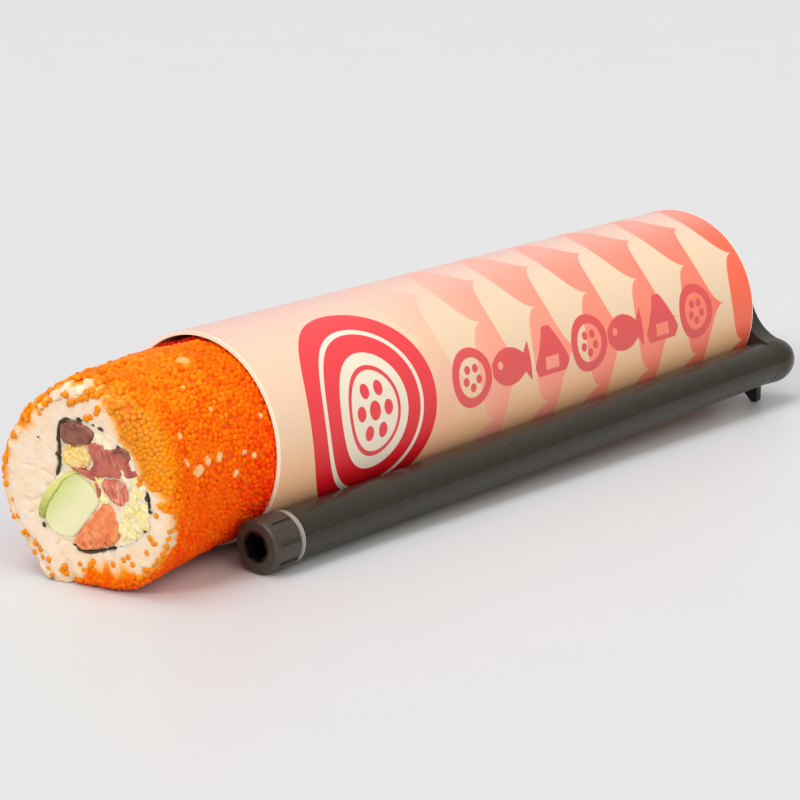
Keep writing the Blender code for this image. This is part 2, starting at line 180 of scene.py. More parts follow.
class Tone:
    """A value, colour or place in a finish, which sums and products add Math or Vector Math nodes to."""

    def __init__(self, socket):
        self.socket = socket

    def node(self, kind, settings=None, sockets=None, out=0):
        made = self.socket.id_data.nodes.new("ShaderNode" + kind)
        for name, value in (settings or {}).items():
            setattr(made, name, value)
        for name, value in (sockets or {}).items():
            feed(made.inputs[name] if isinstance(name, int) else next(
                s for s in made.inputs if s.enabled and name in (s.identifier, s.name)), value)
        return Tone(made.outputs[out])

    def math(self, operation, *others):
        kind = "VectorMath" if self.socket.type == "VECTOR" else "Math"
        return self.node(kind, {"operation": operation}, dict(enumerate((self,) + others)))

    def length(self):
        return self.node("VectorMath", {"operation": "LENGTH"}, {0: self}, out="Value")

    def towards(self, way):
        """How far a place lies from the middle in one direction."""
        return self.node("VectorMath", {"operation": "DOT_PRODUCT"}, {0: self, 1: way}, out="Value")

    def axis(self, k):
        """A place's X, Y or Z."""
        return self.node("SeparateXYZ", None, {0: self}, out=k)

    def clamped(self):
        return self.math("MAXIMUM", 0.0).math("MINIMUM", 1.0)

    def soft_step(self, low, high):
        return self.node("MapRange", {"interpolation_type": "SMOOTHSTEP"},
                         {"Value": self, "From Min": low, "From Max": high})

    def blend(self, low, high):
        """The low colour where this value is 0 and the high one where it is 1."""
        low, high = (c if isinstance(c, Tone) else shade(*c) for c in (low, high))
        return self.node("Mix", {"data_type": "RGBA"},
                         {"Factor_Float": self, "A_Color": low, "B_Color": high}, out=2)

    def ramp(self, *stops):
        """The colour this value picks out between stops, each a value and its colour."""
        picked = self.node("ValToRGB", None, {"Fac": self})
        elements = picked.socket.node.color_ramp.elements
        while len(elements) < len(stops):
            elements.new(0.5)
        for element, (value, colour) in zip(elements, stops):
            element.position = value
            element.color = shade(*colour)
        return picked

    __add__ = __radd__ = operator("ADD")
    __mul__ = __rmul__ = operator("MULTIPLY")
    __sub__ = operator("SUBTRACT")
    __truediv__ = operator("DIVIDE")
    __mod__ = operator("FLOORED_MODULO")
    __lt__ = operator("LESS_THAN")
    __gt__ = operator("GREATER_THAN")

    def __rsub__(self, other):
        return self.node("Math", {"operation": "SUBTRACT"}, {0: other, 1: self})

    def __abs__(self):
        return self.math("ABSOLUTE")


def shade(*screen):
    """A colour in the light's own scale, from its red, green and blue on a screen, 0 to 255."""
    parts = [c / 255 for c in screen]
    return tuple(c / 12.92 if c <= 0.04045 else ((c + 0.055) / 1.055) ** 2.4 for c in parts) + (1.0,)


def start_finish(name):
    """A new finish, and the place on the surface in millimetres to work it out from."""
    finish = bpy.data.materials.new(name)
    finish.use_nodes = True
    place = Tone(finish.node_tree.nodes.new("ShaderNodeTexCoord").outputs["Object"])
    return finish, place * (1000.0, 1000.0, 1000.0)


def end_finish(finish, flesh=(), **sockets):
    """Feeds the finish's shader; flesh is how strongly, how far and at what scale light spreads in it."""
    sockets |= dict(zip(("Subsurface_Weight", "Subsurface_Radius", "Subsurface_Scale"), flesh))
    shader = finish.node_tree.nodes["Principled BSDF"]
    for name, value in sockets.items():
        feed(shader.inputs[name.replace("_", " ")], value)


def speckle(place, scale, detail=3.0, warp=0.0):
    """Soft noise from 0 to 1; scale is in lumps per millimetre."""
    return place.node("TexNoise", None, {0: place, "Scale": scale, "Detail": detail, "Distortion": warp})


def bumped(height, distance):
    """A normal from a height; distance is its depth in millimetres."""
    return height.node("Bump", None, {"Height": height, "Strength": 1.0, "Distance": distance * MM})


nori_finish, place = start_finish("nori")
blotch = speckle(place, 0.9)
weave = speckle(place, 5.0, 5.0, 0.6)
end_finish(nori_finish, Base_Color=blotch.soft_step(0.35, 0.7).blend((38, 32, 20), (72, 60, 34)),
           Roughness=0.25 + 0.35 * weave, Normal=bumped(weave, 0.25))

NORI_RADII = (11.1, 10.0, 11.9, 16.2, 15.7, 14.5, 13.8, 14.6, 14.6, 15.9, 16.2, 15.8, 14.3, 14.2, 15.4,
              16.1, 17.7, 15.5)
NORI_MIDDLE = (-1.0, 0.2)
NORI_THICKNESS, NORI_STANDS_OUT = 0.5, 0.15
NORI_FOLD = (0.4, 36, 20)  # how far the sheet's end is folded in, and its turn and spread in degrees
# How far the rice and sauce have closed over the sheet's cut edge, at equal turns: 0 bare, 1 covered
NORI_COVERED = (0.6, 0.2, 0.0, 0.0, 0.0, 0.3, 0.9, 0.4, 1.0, 0.9, 1.0, 0.8,
                0.4, 0.6, 0.5, 0.6, 0.3, 0.05, 0.0, 0.1, 0.7, 0.8, 0.5, 0.9)


def covered(turn):
    """How far rice and sauce have closed over the nori's cut edge at each turn, a little ragged."""
    wave = sum(high * roughened(wound(turn, 1), wide, 4) for wide, high in ((0.2, 0.7), (0.06, 0.6)))
    return unit(around(NORI_COVERED, turn) + wave)


def nori_ring(turn, offset):
    """The nori's outer line, or one that far outside it."""
    radius = around(NORI_RADII, turn) + offset
    return NORI_MIDDLE[0] + radius * np.cos(turn), NORI_MIDDLE[1] + radius * np.sin(turn)


turns = 360
turn = np.arange(turns) * math.tau / turns
front = NORI_STANDS_OUT - covered(turn) + 0.3 * roughened(wound(turn, 1), 0.12, 4)
rings = []
for offset, depths in ((0.0, (0.10, 4.0)), (-NORI_THICKNESS, (4.0, 0.10))):
    wave = 0.35 * roughened(wound(turn, 3, offset), 0.4, 9)
    folded = hump(turn, *NORI_FOLD) * (offset < 0)
    y, z = nori_ring(turn, offset + wave - folded)
    shallow = [in_roll(y, z, cut_x(y, z) - front + depth) for depth in depths]
    deep = [in_roll(*nori_ring(turn, offset), np.full(turns, x)) for x in STATIONS[1:] + (ROLL_END_X,)]
    rings += shallow + deep if offset == 0 else deep[::-1] + shallow
y, z = nori_ring(turn, -NORI_THICKNESS / 2)
rings.append(in_roll(y, z, cut_x(y, z) - front))
make_piece("nori_sheet", rings, strip_faces(len(rings), turns, closed=True), nori_finish, ["nori"])


# The rice. Short-grain rice, boiled and seasoned so that it sticks, is pressed on in a layer 6 to 12 mm
# thick. The knife has smeared it flat at the cut, where the grains still show as low ovals; its outside is
# covered by roe.
ROLL_RADII = (26.0, 23.5, 22.9, 23.6, 23.6, 22.6, 22.2, 22.8, 24.3, 22.8, 25.7, 25.9)
MEAN_RADIUS = 23.0  # for measuring round the roll
HELD_RADIUS = 23.3
RADIUS_IN_TUBE = HELD_RADIUS / (1 - SQUEEZE)
RIM_ROUND = 1.5
RIM_LENGTH = RIM_ROUND * math.pi / 2
RICE_BELOW, RICE_OFF_NORI = 0.55, 0.15  # how far the rice lies inside the roe and off the nori
OFF_FLOOR = 0.05 * MM
# The rice has sunk from the top of the mouth, slumps back at the cut's top right and bulges low on the left,
# where it was set down: each in millimetres, with its turn and spread in degrees
SUNK, SLUMP, BULGE = (1.1, 72, 10.5), (1.3, 145, 38), (1.4, 299, 8)
# Where the coat of roe starts, every 15 degrees: millimetres back from the rim, or onto the cut if below 0
COAT_STARTS = (1.6, 1.2, 0.8, 0.8, 2.2, 3.8, 4.0, 0.6, -2.6, -4.2, -3.6, -1.8, -0.6, 5.2, 6.0, 2.2,
               -1.4, -1.6, -2.6, 2.4, 5.0, 4.0, 4.0, 3.2)
# Rice left bare of roe: its turn in degrees, how far behind the cut it lies, and its length and width
BARE_PATCHES = ((108, 26.3, 1.9, 2.1), (124, 17.3, 0.7, 0.8), (148, 7.3, 0.9, 0.9),
                (163, 7.2, 1.2, 1.3), (170, 11.1, 1.7, 1.5), (166, 14.3, 1.5, 1.5), (168, 19.0, 1.0, 1.1),
                (171, 27.0, 1.1, 0.9), (174, 30.3, 0.8, 0.8), (181, 24.0, 1.0, 0.9), (154, 34.5, 0.8, 0.8),
                (141, 20.7, 0.7, 0.8), (60, 14.0, 1.2, 1.4), (38, 22.0, 1.0, 1.3), (350, 12.0, 1.3, 1.6),
                (20, 30.0, 1.0, 1.2), (300, 20.0, 1.2, 1.0), (298, 1.5, 3.4, 4.2))


def degrees_from(turn, middle):
    """How far round each turn is from the middle, from -180 to 180 degrees."""
    return (np.degrees(turn) - middle + 180) % 360 - 180


def roll_edge(turn, x):
    """The roll's outer radius, which the tube makes round."""
    share = np.interp(x, STATIONS, held)
    sunk = hump(turn, *SUNK) * np.interp(x, (-14.0, -3.0), (0.0, 1.0))
    return around(ROLL_RADII, turn) * (1 - share) + RADIUS_IN_TUBE * share - sunk


def roll_skin(turn, along, sink=0.0):
    """Places on the roll's outside: along is below 0 on the cut, then goes round its rim and back."""
    turn, along = np.broadcast_arrays(np.asarray(turn, float), np.asarray(along, float))
    bend = np.clip(along / RIM_ROUND, 0.0, math.pi / 2)
    inset = RIM_ROUND - np.where(along < 0, along, RIM_ROUND * np.sin(bend))
    edge = around(ROLL_RADII, turn)
    slump = hump(turn, *SLUMP) * unit(1 + along / 5.0) ** 2
    start = cut_x(*polar(edge, turn)) + slump
    on_cut = cut_x(*polar(edge - inset, turn)) + slump
    back = RIM_ROUND * (1 - np.cos(bend)) + np.maximum(along - RIM_LENGTH, 0.0)
    share = unit(along / RIM_LENGTH)
    x = on_cut * (1 - share) + start * share + back
    radius = roll_edge(turn, x) - inset * (along < RIM_LENGTH) - sink * np.sin(bend)
    place = in_roll(*polar(radius, turn), x + sink * np.cos(bend))
    place[..., 2] = np.maximum(place[..., 2], OFF_FLOOR)
    return place


def outward(turn, along):
    """The way out of the roll's outside at each place."""
    step = 0.05
    aside = step / MEAN_RADIUS
    a = roll_skin(turn + aside, along) - roll_skin(turn - aside, along)
    b = roll_skin(turn, along + step) - roll_skin(turn, along - step)
    out = np.cross(a, b)
    return out / np.maximum(np.linalg.norm(out, axis=-1, keepdims=True), 1e-12)


def in_patch(turn, along):
    """1 in the middle of a bare patch and 0 outside them all; small ones come near the top of the cut."""
    turn, along = np.broadcast_arrays(turn, along)
    ragged = roughened(wound(turn, MEAN_RADIUS, along), 2.3, 14).reshape(turn.shape)
    top = unit(1.3 - np.abs(degrees_from(turn, 62)) / 45)
    found = unit(top * unit(2 - along / 2.5) * (0.1 - 6.0 * ragged))
    for middle, depth, long, wide in BARE_PATCHES:
        aside = np.radians(degrees_from(turn, middle)) * MEAN_RADIUS
        apart = np.hypot(aside / wide, (along - depth - 0.6 * RIM_ROUND) / long)
        found = np.maximum(found, unit(2.5 * (1.25 - apart + 0.6 * ragged)))
    return found


def coat_edge(turn):
    """Where the roe starts at each turn, a little ragged."""
    flat = np.ravel(turn)
    wave = sum(high * roughened(wound(flat, 1, 0.2), wide, 6) for wide, high in ((0.18, 2.4), (0.07, 1.7)))
    return around(COAT_STARTS, turn) + wave.reshape(np.shape(turn))


def set_down(turn, along):
    """How far, in millimetres, the rice bulges where the roll was set down."""
    return hump(turn, *BULGE) * np.interp(along, (-3.0, 0.0, 3.0, 8.0), (0.2, 1.0, 0.7, 0.0))


# A grain's half sizes along, across and through it, how high it stands and how deep the gaps go
GRAIN_REACH, GRAIN_HIGH, GRAIN_GAP = (2.9, 1.35, 3.0), 0.55, 0.3


def grain_relief(points, middles, axes, ups):
    """How high pressed rice grains stand at each point, in millimetres: ovals that lie along their axes."""
    high_at = np.full(len(points), -GRAIN_GAP)
    ways = (axes, np.cross(axes, ups), ups)
    for first in range(0, len(points), 3000):
        near = points[first:first + 3000]
        apart = (near[:, None, :] - middles[None]) / MM
        u, v, w = (np.einsum("pkc,kc->pk", apart, way) / reach for way, reach in zip(ways, GRAIN_REACH))
        inside = 1 - u ** 2 - v ** 2 - w ** 2
        stands = GRAIN_HIGH * np.sqrt(np.maximum(inside, 0.0)) - GRAIN_GAP * (inside <= 0)
        high_at[first:first + 3000] = np.maximum(stands.max(1), -GRAIN_GAP)
    return high_at


draw = np.random.default_rng(11)
turns, rows_on_cut, rows_on_rim, rows_on_side, side_length = 480, 30, 5, 112, 49.0
turn = np.arange(turns) * math.tau / turns
lip = nori_ring(turn, RICE_OFF_NORI - covered(turn))
lip_radius = np.interp(turn, np.unwrap(np.arctan2(lip[1], lip[0])), np.hypot(*lip), period=math.tau)
inner = RIM_ROUND - around(ROLL_RADII, turn) + lip_radius
alongs = [inner * (1 - k / rows_on_cut) for k in range(rows_on_cut)]
alongs += [np.full(turns, s) for s in np.linspace(0.0, RIM_LENGTH, rows_on_rim + 1)[:-1]]
alongs += [np.full(turns, s) for s in np.linspace(RIM_LENGTH, RIM_LENGTH + side_length, rows_on_side)]
alongs = np.array(alongs)
turn_grid = np.broadcast_to(turn, alongs.shape)
base = roll_skin(turn_grid, alongs, RICE_BELOW)
out = outward(turn_grid, alongs)

grains = 2100
seed_turn = draw.uniform(0, math.tau, grains)
seed_along = draw.uniform(-12.5, 50.0, grains)
middles = roll_skin(seed_turn, seed_along, RICE_BELOW)
ups = outward(seed_turn, seed_along)
axes = np.cross(ups, draw.normal(size=(grains, 3)))
axes /= np.linalg.norm(axes, axis=1, keepdims=True)
relief = grain_relief(base.reshape(-1, 3), middles, axes, ups).reshape(alongs.shape)
fine = roughened(base.reshape(-1, 3), 0.6 * MM, 2).reshape(alongs.shape)
smear = unit(-alongs / 1.5)
behind_edge = alongs - coat_edge(turn_grid)
bare = in_patch(turn_grid, alongs)
coated = unit(behind_edge / 1.2 + 0.5) * (1 - bare)
# The grains stand clear where the rice is bare, lie flatter on the cut and hardly show under the roe
lift = relief * (0.75 - 0.2 * smear - 0.55 * coated) + 0.06 * fine + 0.22 * smear + 0.05 * coated
lift += (RICE_BELOW + 0.05) * bare * (alongs > -1.0)
lift += set_down(turn_grid, alongs)
lift[0] = np.minimum(lift[0], 0.1)
pressed = base + out * lift[..., None] * MM
pressed[..., 2] = np.maximum(pressed[..., 2], OFF_FLOOR)
hole = nori_ring(turn, RICE_OFF_NORI)
rings = list(pressed) + [in_roll(*polar(RADIUS_IN_TUBE, turn), np.full(turns, ROLL_END_X))]
rings += [in_roll(*hole, np.full(turns, x)) for x in (ROLL_END_X,) + STATIONS[:0:-1]]
rings += [in_roll(*hole, cut_x(*hole) + 2.2), in_roll(*lip, cut_x(*lip) + 1.5)]

rice_finish, place = start_finish("boiled rice")
body = speckle(place, 0.35)
pearl = speckle(place, 2.2, 4.0)
warm = speckle(place, 0.14, 2.0).soft_step(0.4, 0.62)
tint = (body.soft_step(0.35, 0.7) * 0.5 + warm * 0.5).blend((247, 215, 178), (246, 227, 210))
milky = pearl.soft_step(0.5, 0.72)
steamed = milky.blend(tint, (250, 235, 214))
stain = place.node("Attribute", {"attribute_name": "roe_stain"}, out="Fac")
soaked = stain.ramp((0.0, (250, 208, 140)), (0.45, (255, 162, 44)), (0.7, (252, 122, 4)),
                    (1.0, (246, 82, 0)))
end_finish(rice_finish, Base_Color=stain.soft_step(0.0, 0.5).blend(steamed, soaked),
           Roughness=0.42 - 0.16 * milky, Normal=bumped(pearl, 0.12), Specular_IOR_Level=0.25,
           flesh=(0.35, (1.0, 0.45, 0.2), 0.0015))
faces = strip_faces(len(rings), turns, closed=True)
rice = make_piece("rice", rings, faces, rice_finish, ["rice_with_roe"])
stains = np.zeros(len(rings) * turns, np.float32)
upper = unit(np.sin(turn_grid))
seeped = (0.6 + 0.25 * upper) * unit(1 + behind_edge / 5.5) ** 1.5 * (1 - 0.5 * bare)
soaked_in = coated * unit(0.62 + 0.4 * behind_edge / 12)
stains[:coated.size] = np.maximum(soaked_in, seeped).ravel() * (1 - 0.3 * np.abs(fine).ravel())
rice.data.attributes.new("roe_stain", "FLOAT", "POINT").data.foreach_set("value", stains)


# The roe. Small orange fish eggs coat the rice: each a taut, moist ball about 1.7 mm across, pressed on so
# closely that they flatten each other. The knife has dragged some over the edge of the cut, and a few lie
# on its face.
EGG_APART, CROWDING = 1.42, 1.05  # a few more eggs than fit side by side, so that they press on each other
EGG_RADIUS, EGG_VARIES, EGG_LEAST, EGG_MOST = 0.86, 0.07, 0.66, 1.05
HEAP_HIGH, HEAP_TURN, HEAP_WIDE = 0.75, 66, 36
ROW_APART = 0.866  # rows of things packed close are this part of their spacing apart
COAT_FROM, COAT_TO = -5.0, 48.0
TUBE_GAP_ALONG, TUBE_GAP_TURN, TUBE_GAP_WIDE = 42.3, 75, 17
ROLL_HEIGHT = 48
# Single eggs and short rows of them on the cut, in millimetres about the roll's middle
LOOSE_EGGS = (
    (-14.3, 3.2), (-14.6, 4.6), (-16.1, 8.2), (-14.3, 10.8), (-14.7, 12.1), (-17.6, -9.6), (-16.7, -8.6),
    (-0.6, -16.7), (0.3, -17.6), (3.3, -17.9), (2.3, -19.1), (7.8, -19.3), (15.1, -16.8), (12.1, -18.4),
    (16.4, -15.5), (-9.1, -14.8), (-10.4, -14.0), (-6.2, -16.5), (-11.6, -15.5), (-15.6, -12.1),
    (-18.6, -3.2), (-18.8, 4.8), (4.4, 18.6), (3.4, 19.3), (2.1, 19.7), (0.8, 20.3), (-0.6, 20.8),
    (-2.0, 21.3), (-3.3, 21.6), (-0.6, 21.9), (-1.6, 22.3), (-3.5, 18.7), (-3.1, 17.6), (-0.4, 16.1),
    (-1.6, 16.5), (-10.6, 14.6), (8.9, 19.6), (7.8, 20.6), (6.4, 20.8), (5.2, 20.6), (12.9, 15.2),
    (12.2, 16.6), (11.0, 17.8), (9.8, 18.8), (16.6, 13.4), (18.4, -13.6), (21.4, -10.0), (22.6, -6.3),
    (20.2, -13.8), (24.6, -3.0), (24.6, 2.4), (23.4, 6.6), (20.4, 10.2), (17.2, -18.0), (-20.6, -10.8),
    (-21.4, -9.0), (-19.6, -12.4), (-18.4, -13.9), (-20.9, -12.1), (-17.2, -15.2), (-16.2, -16.4),
    (-22.0, -7.2), (-14.6, -17.6), (-13.2, -18.6), (-15.2, -16.4), (-19.4, -14.6), (8.6, -20.2),
    (7.7, -20.9), (12.4, -20.9), (11.4, -21.6), (18.9, -13.0), (14.2, -18.3), (-12.7, 19.8), (-11.8, 20.5),
    (-13.6, 18.9), (-12.4, 18.8))


def egg_shape(sides=7, tilts=(38, 75, 110)):
    """A ball of few faces, finest where it faces out."""
    points = [(0.0, 0.0, 1.0)]
    for k, tilt in enumerate(math.radians(t) for t in tilts):
        for side in range(sides):
            a = math.tau * (side + k * 0.5) / sides
            points.append((math.sin(tilt) * math.cos(a), math.sin(tilt) * math.sin(a), math.cos(tilt)))
    points.append((0.0, 0.0, -0.9))
    faces = [(0, 1 + k, 1 + (k + 1) % sides) for k in range(sides)]
    for ring in range(len(tilts) - 1):
        a, b = 1 + ring * sides, 1 + (ring + 1) * sides
        for k in range(sides):
            after = (k + 1) % sides
            faces += [(a + k, b + k, a + after), (a + after, b + k, b + after)]
    last, foot = 1 + (len(tilts) - 1) * sides, len(points) - 1
    faces += [(foot, last + (k + 1) % sides, last + k) for k in range(sides)]
    return np.array(points), np.array(faces)


draw = np.random.default_rng(3)
many = int(CROWDING * math.tau * HELD_RADIUS * (COAT_TO - COAT_FROM) / (EGG_APART ** 2 * ROW_APART))
a = draw.uniform(0, math.tau, many)
eggs = wound(a, HELD_RADIUS, draw.uniform(COAT_FROM, COAT_TO, many))
for _ in range(10):  # eggs that overlap push each other aside, so they end packed close but uneven
    tree = kdtree.KDTree(many)
    for k, egg in enumerate(eggs):
        tree.insert(egg, k)
    tree.balance()
    for k, egg in enumerate(eggs.copy()):
        for other, j, apart in tree.find_range(egg, EGG_APART):
            if j != k:
                eggs[k] += 0.45 * (EGG_APART / max(apart, 0.1) - 1) * (egg - np.array(other)) / 1.5
    eggs[:, :2] *= HELD_RADIUS / np.linalg.norm(eggs[:, :2], axis=1, keepdims=True)
a, s = np.arctan2(eggs[:, 1], eggs[:, 0]) % math.tau, eggs[:, 2]
kept = s > coat_edge(a) + draw.uniform(-1.5, 0.7, many)
kept &= in_patch(a, s) < draw.uniform(0.4, 0.9, many)
loose = np.array(LOOSE_EGGS)
loose_turn = np.arctan2(loose[:, 1], loose[:, 0]) % math.tau
loose_along = np.hypot(loose[:, 0], loose[:, 1]) - around(ROLL_RADII, loose_turn) + RIM_ROUND
egg_turn, egg_along = np.append(a[kept], loose_turn), np.append(s[kept], loose_along)
size = draw.normal(EGG_RADIUS, EGG_VARIES, len(egg_turn)).clip(EGG_LEAST, EGG_MOST) * MM
proud = draw.normal(0.0, 0.08, len(egg_turn)).clip(-0.18, 0.25)
# Along the top, clumps of them are heaped on the others,
clump = roughened(wound(egg_turn, MEAN_RADIUS, egg_along), 2.3, 14)
near_top = unit(1.5 - np.abs(np.degrees(egg_turn) - HEAP_TURN) / HEAP_WIDE)
near_top *= unit(2.5 - egg_along / 10)
proud = (proud + near_top * np.clip(2.6 * clump, 0.0, HEAP_HIGH)) * MM
# and some, scraped off by the tube's mouth, fill the gap at the top of it
scraped = (egg_along > TUBE_GAP_ALONG) & (np.abs(np.degrees(egg_turn) - TUBE_GAP_TURN) < TUBE_GAP_WIDE)
proud = np.where(scraped, 0.9 * MM, proud) + set_down(egg_turn, egg_along) * MM
up = outward(egg_turn, egg_along)
middle = roll_skin(egg_turn, egg_along) + up * (0.38 * MM - 0.88 * size + proud)[:, None]
for axis, least in ((2, 0.0), (0, solid_box[0].x)):  # none is under the floor or in front of the CAD model
    middle[:, axis] = np.maximum(middle[:, axis], least + size + 0.02 * MM)
aside = np.cross(up, draw.normal(size=up.shape))
aside /= np.linalg.norm(aside, axis=1, keepdims=True)
third = np.cross(up, aside)
ball, ball_faces = egg_shape()
squash = draw.uniform((0.92, 0.92, 0.8), (1.1, 1.1, 0.95), (len(size), 3))
turned_balls = sum(ball[None, :, k:k + 1] * (way * squash[:, k:k + 1])[:, None]
                   for k, way in enumerate((aside, third, up)))
points = middle[:, None] + turned_balls * size[:, None, None]
faces = ball_faces[None] + (np.arange(len(size)) * len(ball))[:, None, None]

roe_finish, place = start_finish("orange roe")
# Each egg's tone is its ripeness together with painted shade and light, set below
ripe_and_shading = place.node("Attribute", {"attribute_name": "ripeness_and_shading"}, out="Fac")
ripe_and_shading = ripe_and_shading + 0.2 * (speckle(place, 0.12) - 0.5)
deep = ripe_and_shading.ramp((0.0, (176, 16, 0)), (0.12, (240, 38, 0)), (0.3, (255, 76, 0)),
                 (0.6, (255, 114, 0)), (0.82, (255, 146, 10)), (1.0, (230, 142, 38)))
end_finish(roe_finish, Base_Color=deep, Roughness=0.28, Specular_IOR_Level=0.05,
           flesh=(0.25, (1.0, 0.30, 0.05), 0.0008))
roe = make_piece("roe", points, faces.reshape(-1, 3), roe_finish, sharp=180)
# Paler near the cut, where they lie thin over rice. Painted shade and light: redder low down and near the
# tube
height = middle[:, 2] / ROLL_HEIGHT / MM
tone = 0.52 + 0.34 * (height - 0.5) - (0.46 - 0.30 * height) * unit((egg_along - 24.0) / 18.0)
tone += 0.38 * unit(1 - egg_along / 6.5) * unit(3 * height + 0.3)
tone[-len(loose):] = 0.93
tone = (tone + draw.normal(0, 0.07, len(size))).clip(0.12, 1)
# The eggs in the gap at the top of the tube's mouth take the darkest red, as painted shade
tone[scraped] = 0.0
ripeness_and_shading = roe.data.attributes.new("ripeness_and_shading", "FLOAT", "POINT")
ripeness_and_shading.data.foreach_set("value", np.repeat(tone, len(ball)).astype(np.float32))


# The sauce. A thick, pale sauce with fine crumb in it fills the gaps between the fillings and has been
# smeared by the knife over the edge of the nori on the right.
def smooth_outline(corners, ragged=0.0, apart=0.3):
    """A closed outline through corners in millimetres, smooth but for that much raggedness."""
    turn = np.linspace(0, math.tau, 1200, endpoint=False)
    line = np.stack([around(places, turn) for places in zip(*corners)], -1)
    steps = np.linalg.norm(np.roll(line, -1, axis=0) - line, axis=1)
    along = np.append(0.0, np.cumsum(steps))
    wanted = np.linspace(0, along[-1], int(along[-1] / apart), endpoint=False)
    even = np.interp(wanted, along, np.append(turn, math.tau))
    line = np.stack([around(places, even) for places in zip(*corners)], -1)
    flat = np.column_stack([line, 0 * even])
    for wide, high in ((1.7, 1.0), (0.7, 0.5)):
        line = line + ragged * high * np.stack([roughened(flat, wide, k) for k in (5, 12)], -1)
    return line


def distance_to(outline, points):
    """How far each point is from an outline's nearest edge."""
    a, b = outline, np.roll(outline, -1, axis=0)
    along = b - a
    share = unit(((points[:, None] - a) * along).sum(-1) / np.maximum((along ** 2).sum(-1), 1e-9))
    return np.linalg.norm(points[:, None] - (a + share[..., None] * along), axis=-1).min(1)


def inside_of(outline, points):
    """Which points lie inside an outline."""
    a, b = outline, np.roll(outline, -1, axis=0)
    x, y = points[:, 0:1], points[:, 1:2]
    crosses = (a[:, 1] > y) != (b[:, 1] > y)
    rise = np.where(b[:, 1] == a[:, 1], 1e-9, b[:, 1] - a[:, 1])
    return (crosses & (x < (b[:, 0] - a[:, 0]) * (y - a[:, 1]) / rise + a[:, 0])).sum(1) % 2 == 1


def inside_sheet(points):
    """The same points, drawn in where they would lie outside the nori."""
    y, z = points[:, 0] - NORI_MIDDLE[0], points[:, 1] - NORI_MIDDLE[1]
    turn, radius = np.arctan2(z, y), np.hypot(y, z)
    shrunk = np.minimum(radius, around(NORI_RADII, turn) - NORI_THICKNESS - 0.1) / np.maximum(radius, 1e-6)
    return np.stack([NORI_MIDDLE[0] + y * shrunk, NORI_MIDDLE[1] + z * shrunk], -1)


def cut_filling(name, outline, stand_out, relief, finish, slot, stands_for=(), round_by=0.7, apart=0.34,
                deep=None):
    """A filling with a finely shaped cut face, which runs straight back in the roll, inside the nori.

    The relief is a height in millimetres for places across the face; deep ends the piece that far behind it.
    """
    low, high = outline.min(0), outline.max(0)
    rows = np.arange(low[1], high[1], apart * ROW_APART)
    across, up = np.meshgrid(np.arange(low[0], high[0], apart), rows)
    across = across + (np.arange(across.shape[0]) % 2)[:, None] * apart / 2
    inside = np.stack([across.ravel(), up.ravel()], -1)
    inside = inside[inside_of(outline, inside)]
    inside = inside[distance_to(outline, inside) > apart * 0.55]
    count = len(outline)
    flat = [Vector(p) for p in np.concatenate([outline, inside])]
    edges = [(k, (k + 1) % count) for k in range(count)]
    made, _, faces, origin, _, _ = geometry.delaunay_2d_cdt(flat, edges, [], 1, 1e-5)
    flat = np.array([tuple(p) for p in made])
    back = distance_to(outline, flat) / round_by
    drop = round_by * (1 - np.sqrt(unit(1 - (1 - unit(back)) ** 2)))
    height = stand_out + relief(flat) * np.clip(back, 0.25, 1) - drop
    face = in_roll(*flat.T, cut_x(*flat.T) - height)
    rim = [next(k for k, o in enumerate(origin) if j in o) for j in range(count)]
    edge = flat[rim]
    edge_x = cut_x(*edge.T)
    points = [face, in_roll(*edge.T, edge_x - stand_out + round_by + 0.2)]
    edge = inside_sheet(edge)
    points += [in_roll(*edge.T, edge_x + depth) for depth in (1.3, deep or 3.0)]
    if not deep:
        points += [in_roll(*edge.T, np.full(count, x)) for x in STATIONS[1:] + (ROLL_END_X,)]
    start = len(face)
    rings = [rim] + [list(range(start + k * count, start + (k + 1) * count)) for k in range(len(points) - 1)]
    solid = [tuple(f) for f in faces]
    for near, far in zip(rings, rings[1:]):
        solid += [(near[k], far[k], far[(k + 1) % count], near[(k + 1) % count]) for k in range(count)]
    solid.append(tuple(rings[-1][::-1]))
    make_piece(name, np.concatenate(points), solid, finish, stands_for, sharp=60)


def lumps(seed, *layers):
    """A relief of noise: pairs of how wide its lumps are and how high, in millimetres."""
    def height(flat):
        total = np.zeros(len(flat))
        for k, (wide, high) in enumerate(layers):
            total += high * roughened(np.column_stack([flat, np.full(len(flat), 3.3 * k)]), wide, seed + k)
        return total
    return height


sauce_finish, place = start_finish("pale sauce")
curd = speckle(place, 1.1)
crumbly = speckle(place, 3.5, 4.0)
tint = curd.soft_step(0.45, 0.68).blend((252, 232, 206), (252, 236, 188))
end_finish(sauce_finish, Base_Color=tint, Roughness=0.3 + 0.2 * crumbly, Normal=bumped(crumbly, 0.2),
           flesh=(0.3, (1.0, 0.6, 0.3), 0.001))
turn = np.arange(150) * math.tau / 150
outline = np.stack(nori_ring(turn, -NORI_THICKNESS - 0.1 + 0.9 * covered(turn)), -1)
thick = lumps(21, (3.2, 0.5), (1.1, 0.25), (0.5, 0.08))
cut_filling("sauce", outline, 0.05, lambda flat: thick(flat) - 0.5 * unit((flat[:, 0] + 3) / 5),
            sauce_finish, "pale_crunch", deep=5.0, round_by=0.3, apart=0.28)


